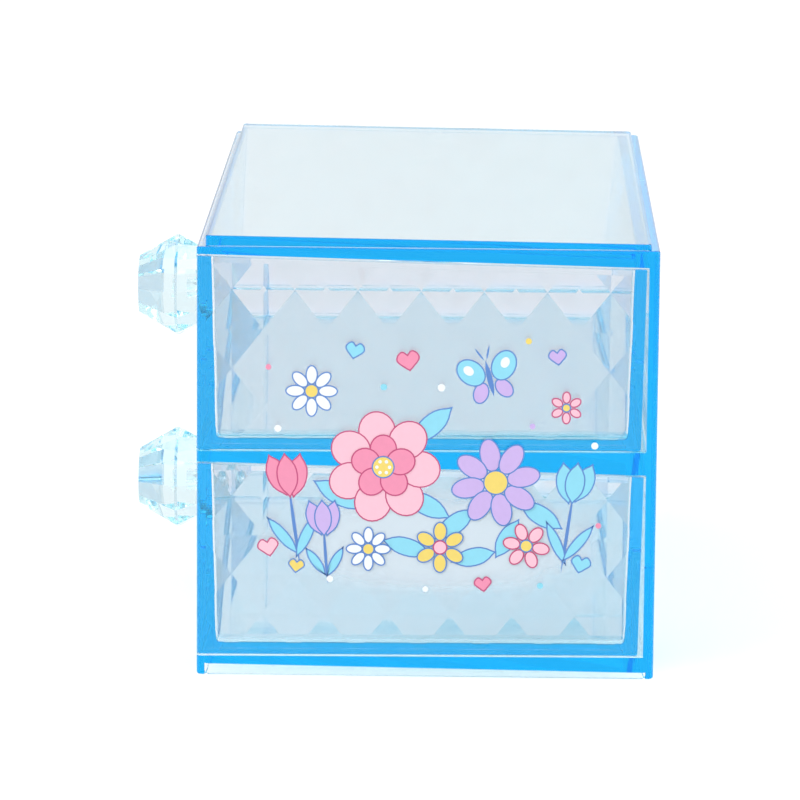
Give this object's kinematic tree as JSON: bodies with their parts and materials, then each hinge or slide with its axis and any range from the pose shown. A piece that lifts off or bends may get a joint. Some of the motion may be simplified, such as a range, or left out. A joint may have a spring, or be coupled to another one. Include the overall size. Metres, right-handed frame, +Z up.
{
  "type": "mini storage chest",
  "caption": "Small clear desktop chest with sliding drawers and faceted knobs, for craft parts and other small things.",
  "frame": {"origin": "centre of the case's footprint, on the plane that its foot stands on", "axes": "+Z up; the drawers open toward -Y; +X runs along the drawer fronts"},
  "size_m": [0.17, 0.1134, 0.0932],
  "materials": {
    "clear_blue_plastic": "clear, light blue, polished",
    "clear_acrylic": "clear, faceted, polished",
    "zinc_steel": "bright zinc"
  },
  "bodies": {
    "chest": {"case": "clear_blue_plastic"},
    "top_drawer": {"upper_drawer": "clear_blue_plastic", "upper_knob": "clear_acrylic", "upper_knob_screw": "zinc_steel"},
    "bottom_drawer": {"lower_drawer": "clear_blue_plastic", "lower_knob": "clear_acrylic", "lower_knob_screw": "zinc_steel"}
  },
  "joints": [
    {"name": "upper_drawer_slide", "type": "slide", "parent": "chest", "child": "top_drawer", "axis": [0, -1, 0], "range_m": [0, 0.08]},
    {"name": "lower_drawer_slide", "type": "slide", "parent": "chest", "child": "bottom_drawer", "axis": [0, -1, 0], "range_m": [0, 0.08]}
  ]
}
